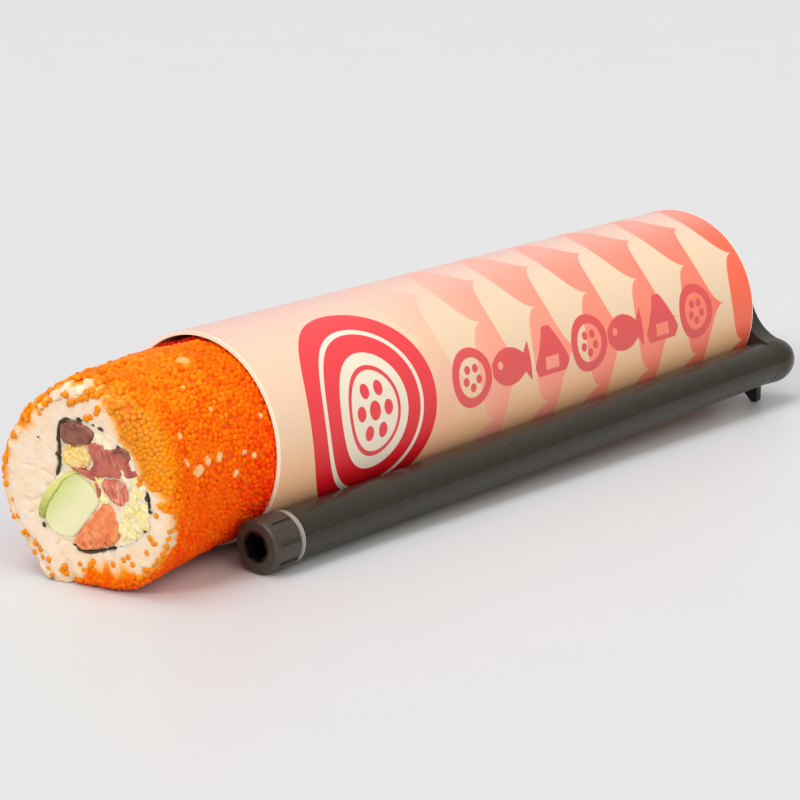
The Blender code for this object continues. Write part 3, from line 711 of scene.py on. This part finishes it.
# The tuna. Three pieces of raw tuna lie in the upper half: a dark one at the top, a long pink one under it
# and a scraped, flaky one below. Each is cut across its muscle, so pale lines run through moist red flesh.
def fish_finish(name, reds, grain_turn, pale_share, browned=0.0):
    """Raw fish cut across the muscle: patches of two reds, pale fibres and, low down, brown specks."""
    dark, main, pale = reds
    finish, place = start_finish(name)
    turned = place.node("VectorRotate", {"rotation_type": "X_AXIS"}, {"Vector": place, "Angle": grain_turn})
    drawn_out = turned * (1.0, 1.0, 0.22)
    fibre = speckle(drawn_out, 1.1, 4.0, 0.5)
    fine = speckle(drawn_out, 3.2, 3.0, 0.3)
    patch = speckle(place, 0.4)
    flesh = patch.soft_step(0.36, 0.62).blend(dark, main)
    fat = (fibre * 0.75 + fine * 0.25).soft_step(0.66 - pale_share * 0.3, 0.76 - pale_share * 0.2)
    low = 1 - place.axis(2).soft_step(11.0, 17.0)
    specks = speckle(place, 1.3, 3.0).soft_step(0.54, 0.66) * low * browned
    raw = (fat * 0.7).blend(flesh, pale)
    end_finish(finish, Base_Color=specks.blend(raw, (146, 74, 40)), Roughness=0.22 + 0.25 * fine,
               Normal=bumped(fibre * 0.7 + fine * 0.3, 0.3), flesh=(0.3, (1.0, 0.35, 0.2), 0.0012))
    return finish


def stand_in(node, slot, corners, ragged, stand_out, seed, layers, finish, **shape):
    """The filling shown for a frame node: its outline's corners and raggedness, and its face's relief."""
    cut_filling(node + "_cut", smooth_outline(corners, ragged), stand_out, lumps(seed, *layers), finish,
                slot, [node], **shape)


dark_tuna = fish_finish("dark tuna", ((119, 66, 52), (150, 88, 69), (180, 117, 94)), 1.2, 0.25)
pink_tuna = fish_finish("pink tuna", ((168, 80, 68), (199, 103, 84), (220, 144, 122)), 0.25, 0.42)
flaked_tuna = fish_finish("flaked tuna", ((188, 83, 64), (216, 112, 84), (244, 186, 150)), 0.15, 0.75)
TUNA_DARK = ((7.0, 13.4), (4.3, 14.7), (0.4, 14.3), (-2.3, 12.9), (-2.1, 11.5), (-0.6, 10.4), (2.7, 9.7),
             (6.8, 9.8))
TUNA_PALE = ((-0.2, 10.3), (-3.2, 11.0), (-6.2, 10.3), (-8.4, 10.3), (-10.7, 10.2), (-12.0, 8.6),
             (-11.8, 7.2), (-13.8, 5.3), (-13.2, 4.3), (-9.6, 3.7), (-6.0, 3.5), (-2.6, 2.8), (0.4, 3.4),
             (-1.4, 5.4), (-0.9, 8.0))
TUNA_FLAKES = ((-4.2, 2.6), (-7.2, 3.5), (-10.4, 3.6), (-11.5, 0.6), (-10.6, -2.2), (-8.6, -2.7),
               (-6.4, -1.6), (-4.4, 0.2))
stand_in("tuna_dark", "tuna_dark", TUNA_DARK, 0.35, 0.5, 31, ((3.0, 0.35), (1.1, 0.16)), dark_tuna)
stand_in("tuna_pale", "tuna_pale", TUNA_PALE, 0.5, 0.45, 35, ((3.5, 0.45), (1.2, 0.22)), pink_tuna)
stand_in("tuna_flakes", "tuna_flakes", TUNA_FLAKES, 0.55, 0.5, 39, ((1.8, 0.45), (0.8, 0.22)), flaked_tuna)


# The salmon. One wedge of raw salmon, sliced from a slab, lies along the bottom of the roll. It is orange
# and moist, with small brown specks along its foot.
salmon_finish = fish_finish("salmon", ((236, 122, 72), (246, 154, 92), (249, 190, 140)), 2.2, 0.2, 0.75)
SALMON = ((-4.2, -2.9), (-6.8, -3.7), (-8.1, -6.4), (-8.4, -9.4), (-6.8, -11.7), (-3.5, -13.0),
          (-0.2, -14.0), (2.6, -14.2), (4.3, -12.4), (2.4, -9.9), (-0.6, -6.6))
stand_in("salmon", "salmon", SALMON, 0.25, 0.8, 43, ((3.0, 0.35), (1.0, 0.14)), salmon_finish)


# The cucumber. A thick baton of cucumber, its wet flesh nearly white at the heart and greener towards the
# strip of skin that was left on along one side, which is dark low down and paler higher up.
HEART, TO_SKIN = (2.6, -8.0), (0.0, 0.75, 0.66)  # its palest place, and the way from it to the skin
flesh_finish, place = start_finish("cucumber flesh")
heart = tuple(in_roll(*map(np.array, HEART + (CUT_X,))) / MM)
vein = speckle(place, 0.8, 4.0, 0.4)
green = ((place - heart).towards(TO_SKIN) + vein * 3.0).soft_step(4.0, 12.5)
end_finish(flesh_finish, Base_Color=green.blend((237, 233, 187), (202, 214, 116)),
           Roughness=0.12 + 0.2 * vein, Normal=bumped(speckle(place, 2.4), 0.12),
           flesh=(0.4, (0.8, 1.0, 0.4), 0.002))
CUCUMBER = ((6.6, 1.2), (4.6, 2.9), (1.9, 2.6), (-0.8, 0.8), (-2.6, -1.2), (-3.0, -2.9), (-1.1, -5.6),
            (1.6, -8.8), (4.6, -11.8), (8.4, -12.1), (11.6, -10.5), (12.6, -8.2), (10.8, -4.2))
stand_in("cucumber_flesh", "cucumber", CUCUMBER, 0.12, 0.3, 47, ((6.0, 0.25), (1.4, 0.06)),
         flesh_finish, round_by=0.5)

skin_finish, place = start_finish("cucumber skin")
streak = speckle(place, 1.3, 4.0, 0.5)
high_up = (place.axis(2) + 6.0 * streak).soft_step(14.0, 27.0)
end_finish(skin_finish, Base_Color=high_up.blend((124, 140, 28), (229, 226, 130)),
           Roughness=0.2 + 0.2 * streak, Normal=bumped(streak, 0.15))
SKIN = ((14.4, -8.4), (14.0, -5.4), (12.2, -2.2), (9.6, 0.3), (6.8, 2.2), (4.0, 3.6), (2.2, 3.5),
        (4.0, 2.6), (6.9, 0.8), (9.6, -2.4), (11.4, -5.4), (12.6, -8.4))
stand_in("cucumber_skin", "cucumber_skin", SKIN, 0.2, 0.35, 51, ((2.4, 0.2), (0.8, 0.06)),
         skin_finish, round_by=0.5, apart=0.28)


# The crunch. Crisp crumbs of fried batter, 1 to 3 mm across, puffed and craggy, stick together in the
# sauce: a yellow nugget at the top left, a bank of paler ones down the right side and a few between the
# fish and the cucumber.
NUGGET = ((6.5, 7.8), (3.2, 9.3), (-0.2, 8.8), (-1.0, 6.4), (0.8, 4.6), (3.8, 4.2), (6.6, 5.1))
SIDE = ((-12.0, 4.2), (-14.2, 4.4), (-16.2, 0.9), (-17.0, -2.4), (-15.6, -6.6), (-12.6, -9.6),
        (-9.0, -10.8), (-8.9, -6.6), (-8.2, -3.6), (-11.2, -2.2), (-12.0, 0.6))
CORE = ((-1.6, 2.8), (-3.9, 2.5), (-4.2, 0.2), (-6.0, -2.1), (-4.2, -2.8), (-2.6, -0.9))


def crunch_finish(name, pale, gold):
    """Fried crumb, pale with golden puffs."""
    finish, place = start_finish(name)
    puff = speckle(place, 1.4)
    crag = speckle(place, 4.5, 5.0)
    end_finish(finish, Base_Color=puff.soft_step(0.42, 0.64).blend(pale, gold),
               Roughness=0.45 + 0.25 * crag, Normal=bumped(crag, 0.2),
               flesh=(0.15, (1.0, 0.75, 0.4), 0.0006))
    return finish


yellow_crunch = crunch_finish("yellow crunch", (250, 222, 150), (243, 194, 90))
pale_crunch = crunch_finish("pale crunch", (254, 242, 192), (252, 226, 128))
stand_in("crunch_nugget", "crunch", NUGGET, 0.4, 0.5, 55, ((1.9, 0.5), (0.8, 0.25)),
         yellow_crunch, apart=0.26)
stand_in("crunch_side", "pale_crunch", SIDE, 0.4, 0.2, 59, ((1.9, 0.5), (0.8, 0.22)),
         pale_crunch, apart=0.28)
stand_in("crunch_core", "pale_crunch", CORE, 0.3, 0.3, 63, ((1.4, 0.5), (0.6, 0.25)),
         pale_crunch, round_by=0.4, apart=0.26)

crumb_rule = random.Random(8)
lump_points, lump_faces = egg_shape(9, (30, 60, 90, 120, 150))
lump_ball = [Vector(p).normalized() for p in lump_points]


def add_lump(points, faces, place, radius, seed, stretch, crags=0.0):
    """Adds a lump to a mesh, at a place in millimetres, with its stretch along X, Y and Z."""
    middle = in_roll(*map(np.array, place))
    faces += [tuple(len(points) + k for k in face) for face in lump_faces]
    for p in lump_ball:
        swell = 1.0 + 0.9 * noise.noise(p * 1.2 + seed) + crags * noise.noise(p * 2.8 + seed)
        points.append(middle + np.array(p) * np.array(stretch) * radius * swell * MM)


def make_crumbs(name, banks, finish):
    """Crumbs bedded in the cut: each bank is an outline, how many it has and their least and most radius."""
    points, faces = [], []
    for corners, count, least, most in banks:
        outline = smooth_outline(corners)
        low, high = outline.min(0), outline.max(0)
        while count:
            y, z = crumb_rule.uniform(low[0], high[0]), crumb_rule.uniform(low[1], high[1])
            if not inside_of(outline, np.array([[y, z]]))[0]:
                continue
            radius = crumb_rule.uniform(least, most)
            x = cut_x(y, z) - 0.05 + crumb_rule.uniform(-0.25, 0.25)
            seed = Vector((crumb_rule.uniform(0, 90), 0.0, 0.0))
            add_lump(points, faces, (y, z, x), radius, seed, (0.4, 1.0, 1.0), crags=0.45)
            count -= 1
    make_piece(name, points, faces, finish, sharp=28)


make_crumbs("nugget_crumbs", ((NUGGET, 11, 0.6, 1.4),), yellow_crunch)
make_crumbs("pale_crumbs", ((SIDE, 24, 0.6, 1.5), (CORE, 4, 0.4, 0.9)), pale_crunch)


# The scraps. The knife has dragged shreds of tuna over the cucumber and the crumb, and torn flecks of nori
# lie along the sheet's edge.
SHREDS = (((4.4, 4.3), (2.2, 4.6), (-0.4, 4.2), (-2.6, 3.1), (-2.4, 2.2), (0.2, 2.9), (2.6, 3.7)),
          ((-2.2, 2.0), (-3.2, 1.9), (-3.9, 0.0), (-3.4, -1.6), (-2.8, -0.4)),
          ((-7.6, 9.5), (-9.2, 10.8), (-11.4, 10.3), (-12.4, 8.6), (-11.2, 8.9), (-9.6, 9.6)))
for k, (corners, finish) in enumerate(zip(SHREDS, (pink_tuna, pink_tuna, dark_tuna))):
    cut_filling("tuna_shred_%d" % k, smooth_outline(corners, 0.3, 0.2), 0.75,
                lumps(71, (1.2, 0.2), (0.5, 0.1)), finish, "tuna_pale", round_by=0.4, apart=0.22, deep=1.2)
FLECKS = ((-17.2, -2.5, 0.5), (-16.4, 0.4, 0.6), (-15.6, -7.1, 0.45), (-4.5, 14.3, 0.5), (-9.0, 10.9, 0.4),
          (12.9, -10.2, 0.6), (13.4, 9.9, 0.3), (6.2, 13.6, 0.5), (8.2, 6.8, 0.5), (-3.0, -13.4, 0.6))
points, faces = [], []
for y, z, radius in FLECKS:
    seed = Vector((y, z, 0.0)) * 3.1
    add_lump(points, faces, (y, z, cut_x(y, z) - 0.25), radius, seed, (0.35, 1.1, 0.8))
make_piece("nori_flecks", points, faces, nori_finish, sharp=180)


# The card tube. A tube wound from white card with a printed, satin-varnished wrap: cream, with rows of pink
# scales that grow stronger towards the back, a red disc near the mouth and a row of small coral signs. Its
# cut ends are bare, and the wrap's seam is underneath.
TUBE_MIDDLE_HIGH, PRINT_RADIUS, PRINT_LENGTH = 24.85, 25.0, 190.0
WRAP_INSIDE, WRAP_START, WRAP_END = 24.7, 0.25, 188.45
SCALE_COLUMN, SCALE_ROW, SCALE_REACH, SCALE_START, SCALE_TURN = 10.75, 57.0, 7.25, 78.75, 77.5


def scale_edge(aside):
    """How far a scale's round edge reaches: aside is 0 at its middle and 1 at its corners."""
    return (1.0 - aside * aside).math("MAXIMUM", 0.0).math("SQRT") * SCALE_REACH


card_finish, place = start_finish("printed card")
tube_middle = (mouth[0] / MM, mouth[1] / MM, TUBE_MIDDLE_HIGH)
x, y, z = (place.axis(k) - tube_middle[k] for k in range(3))
degrees = (y * -1.0).math("ARCTAN2", z) * math.degrees(1)
round_tube = degrees * math.radians(PRINT_RADIUS)

aside = abs(((degrees - SCALE_TURN) / SCALE_ROW + 0.5) % 1.0 - 0.5) * 2.0
since_pink = (x - SCALE_START + scale_edge(aside)) % (2 * SCALE_COLUMN)
since_cream = (x - SCALE_START - SCALE_COLUMN + scale_edge(1.0 - aside)) % (2 * SCALE_COLUMN)
in_scale = since_pink < since_cream

cream = x.soft_step(5.0, 60.0).blend((238, 205, 177), (234, 207, 175))
cream = degrees.soft_step(-10.0, 50.0).blend((230, 190, 177), cream)
# Low on the side by the stick the cream is painted darker and oranger, as shade and warm light bounced up
low_side_shade = degrees.soft_step(72.0, 104.0)
cream = low_side_shade.blend(cream, (238, 188, 144))
pink = (x / PRINT_LENGTH).ramp(
    (0.30, (246, 178, 156)), (0.42, (247, 162, 140)), (0.62, (249, 144, 122)),
    (0.88, (247, 128, 105)), (0.96, (245, 107, 78)))
# Over the top the pink is painted paler, as a painted sheen of the varnish
pink = (0.3 - 0.3 * degrees.soft_step(0.0, 40.0)).blend(pink, (250, 205, 195))
ink = (in_scale * x.soft_step(34.0, 84.0)).blend(cream, pink)


def disc_mask(u, v, radius, middle=(0.0, 0.0)):
    """1 inside a printed disc."""
    a, b = u - middle[0], v - middle[1]
    return a * a + b * b < radius * radius


def rings_mask(u, v, radii, dots=0, dot_radius=0.0, dots_out=0.0, turned=0.0):
    """1 between the first two of a sign's radii, inside any third and on dots set in a circle."""
    mask = disc_mask(u, v, radii[0]) - disc_mask(u, v, radii[1])
    for radius in radii[2:]:
        mask = mask + disc_mask(u, v, radius)
    for dot in range(dots):
        a = math.tau * (dot + turned) / dots
        mask = mask + disc_mask(u, v, dot_radius, (dots_out * math.cos(a), dots_out * math.sin(a)))
    return mask


BADGE_X, BADGE_TURN, BADGE_RADIUS, BADGE_STRETCH = 33.0, 34.9, 22.0, 1.23
u, v = x - BADGE_X, (round_tube - BADGE_TURN) / BADGE_STRETCH
# Low down the disc is painted a deeper red, as shade
disc_red = low_side_shade.blend((232, 62, 70), (216, 12, 28))
ink = disc_mask(u, v, BADGE_RADIUS).blend(ink, disc_red)
ink = rings_mask(u, v, (17.2, 16.0, 11.6)).blend(ink, (236, 226, 206))
ink = rings_mask(u, v, (8.9, 7.9, 1.9), 6, 1.5, 4.7).blend(ink, (230, 66, 74))

# The signs are a slice of roll, a fish and a rice ball, over and over
SIGN_APART, SIGNS_START, SIGNS_END, SIGNS_TURN = 15.6, 61.0, 170.2, 34.0
u = (x - SIGNS_START) % SIGN_APART - SIGN_APART / 2
v = round_tube - SIGNS_TURN
which = ((x - SIGNS_START) / SIGN_APART % 3.0).math("FLOOR")
slice_sign = rings_mask(u, v, (7.4, 4.9), 5, 1.1, 2.5, turned=0.25)
body = disc_mask(u, v, 8.4, (-1.1, 3.7)) * disc_mask(u, v, 8.4, (-1.1, -3.7))
tail = (abs(v) < (u - 2.6) * 1.1) * (u < 7.2)
eye = disc_mask(u, v, 1.0, (-4.6, -0.8))
fish_sign = body.math("MAXIMUM", tail) * (1.0 - eye)
from_sides = (abs(u) * 0.866 - v * 0.5).math("MAXIMUM", v)
from_corners = (u * u + v * v).math("SQRT") - 2.4
sheet = (abs(u) < 2.6) * (v > 0.4) * (v < 3.6)
ball_sign = (from_sides.math("MAXIMUM", from_corners) < 4.9) * (1.0 - sheet)
signs = (which < 0.5) * slice_sign + which.math("COMPARE", 1.0, 0.1) * fish_sign + (which > 1.5) * ball_sign
signs = signs * (x > SIGNS_START) * (x < SIGNS_END)
ink = signs.clamped().blend(ink, (222, 86, 86))

outside = (y * y + z * z).math("SQRT") > WRAP_INSIDE
wrapped = outside * (x > WRAP_START) * (x < WRAP_END)
pulp = speckle(place, 3.0, 4.0)
bare_card = pulp.soft_step(0.3, 0.7).blend((248, 246, 220), (253, 252, 230))
tooth = speckle(place, 1.6, 5.0)
end_finish(card_finish, Base_Color=wrapped.blend(bare_card, ink),
           Roughness=0.75 - wrapped * (0.37 - 0.1 * tooth), Normal=bumped(tooth, 0.03))


def dress(node, finish):
    """Gives its finish to a piece that is shown as it comes."""
    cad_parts[node].data.materials.clear()
    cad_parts[node].data.materials.append(finish)


dress("card_tube", card_finish)


# The push stick. Black plastic, moulded in one with the plate that closes the tube, with a faintly clouded
# satin surface; a grooved cap of the same plastic is pressed on its front end.
black_finish, place = start_finish("black plastic")
cloud = speckle(place, 0.25)
pebble = speckle(place, 9.0, 2.0)
end_finish(black_finish, Base_Color=cloud.blend((50, 46, 40), (57, 53, 45)),
           Roughness=0.2 + 0.1 * cloud, Normal=bumped(pebble, 0.004), Specular_IOR_Level=0.28)
dress("push_stick", black_finish)

SOCKET_RADIUS = 3.8
cap_finish, place = start_finish("cap plastic")
cap_low, cap_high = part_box("stick_cap")
from_middle = place - tuple(c / MM for c in (cap_low + cap_high) / 2)
worn = speckle(place, 1.2, 4.0)
# The cap is painted a lighter grey than the stick of the same plastic, as the stronger light it catches; its
# patches are wear
grey = worn.blend((48, 43, 39), (78, 71, 62))
# The socket in the cap's face is painted nearly black, as the shade inside it
socket_shade = (from_middle * (0.0, 1.0, 1.0)).length() < SOCKET_RADIUS
end_finish(cap_finish, Base_Color=socket_shade.blend(grey, (12, 10, 9)), Roughness=0.32 + 0.15 * worn,
           Normal=bumped(worn, 0.02), Specular_IOR_Level=0.4)
dress("stick_cap", cap_finish)


# The seal. A ring of soft, pale grey rubber with a little dust on it, pushed onto the front end of the
# shaft and held there by the cap.
seal_finish, place = start_finish("pale seal")
dusty = speckle(place, 1.5)
end_finish(seal_finish, Base_Color=dusty.blend((136, 130, 118), (162, 156, 143)),
           Roughness=0.45 + 0.2 * dusty, Normal=bumped(dusty, 0.04))
dress("stick_seal", seal_finish)


# The studio. A pale floor without a seam, lit by a soft light from the left, a broad one above, a wide, warm
# one from the front and a faint glow of the sky, and the camera where the photograph was taken from, low
# and on the stick's side of the mouth.
floor_finish, place = start_finish("pale floor")
paper = speckle(place, 0.02)
end_finish(floor_finish, Base_Color=paper.blend((210, 211, 212), (212, 213, 214)), Roughness=0.35,
           Specular_IOR_Level=0.15)
floor_mesh = bpy.data.meshes.new("floor")
floor_mesh.from_pydata([(-3, -3, 0), (3, -3, 0), (3, 3, 0), (-3, 3, 0)], [], [(0, 1, 2, 3)])
floor_mesh.materials.append(floor_finish)
floor = put_in("floor", floor_mesh)

# Wide, far lights: the way towards each, how many degrees of the sky it fills, its power and its tint
for name, towards, spread, power, tint in (
        ("left_light", (-0.80, 0.0, 0.60), 20, 1.29, (1.0, 0.99, 0.97)),
        ("top_light", (-0.20, 0.15, 0.95), 36, 1.09, (0.98, 1.0, 1.03)),
        ("front_light", (-0.15, -0.85, 0.50), 80, 1.62, (1.0, 0.94, 0.87))):
    light = bpy.data.lights.new(name, "SUN")
    light.angle = math.radians(spread)
    light.energy = power
    light.color = tint
    lamp = put_in(name, light)
    lamp.rotation_euler = (-Vector(towards)).to_track_quat("-Z", "Y").to_euler()
world = bpy.data.worlds.new("studio")
world.use_nodes = True
sky = world.node_tree.nodes["Background"]
sky.inputs["Color"].default_value = (1.0, 1.0, 1.0, 1.0)
GLOW, GLOW_ABOVE, GLOW_BEHIND = 0.10, 0.30, 0.45
way = Tone(world.node_tree.nodes.new("ShaderNodeTexCoord").outputs["Generated"])
above = way.axis(2).soft_step(-0.05, 0.75)
behind = way.towards((0.65, 0.64, 0.0)).soft_step(0.1, 0.9)
feed(sky.inputs["Strength"], above * GLOW_ABOVE + behind * GLOW_BEHIND + GLOW)
bpy.context.scene.world = world
bpy.context.scene.view_settings.view_transform = "Standard"

CAMERA_PLACE = Vector((-0.45711, -0.44825, 0.20631))  # from the middle of the tube's mouth on the floor
YAW, PITCH, ROLL = (math.radians(a) for a in (40.34, 15.08, 0.39))
LENS, SENSOR_WIDTH = 130.71, 36.0
ahead = Vector((math.cos(PITCH) * math.cos(YAW), math.cos(PITCH) * math.sin(YAW), -math.sin(PITCH)))
right = Vector((math.sin(YAW), -math.cos(YAW), 0.0))
above = right.cross(ahead)
c, s = math.cos(ROLL), math.sin(ROLL)
right, above = c * right + s * above, -s * right + c * above
lens = bpy.data.cameras.new("camera")
lens.lens = LENS
lens.sensor_width = SENSOR_WIDTH
lens.clip_start = 0.01
camera = put_in("camera", lens)
stance = Matrix((right, above, -ahead)).transposed().to_4x4()
stance.translation = CAMERA_PLACE + Vector(mouth)
camera.matrix_world = stance
bpy.context.scene.camera = camera
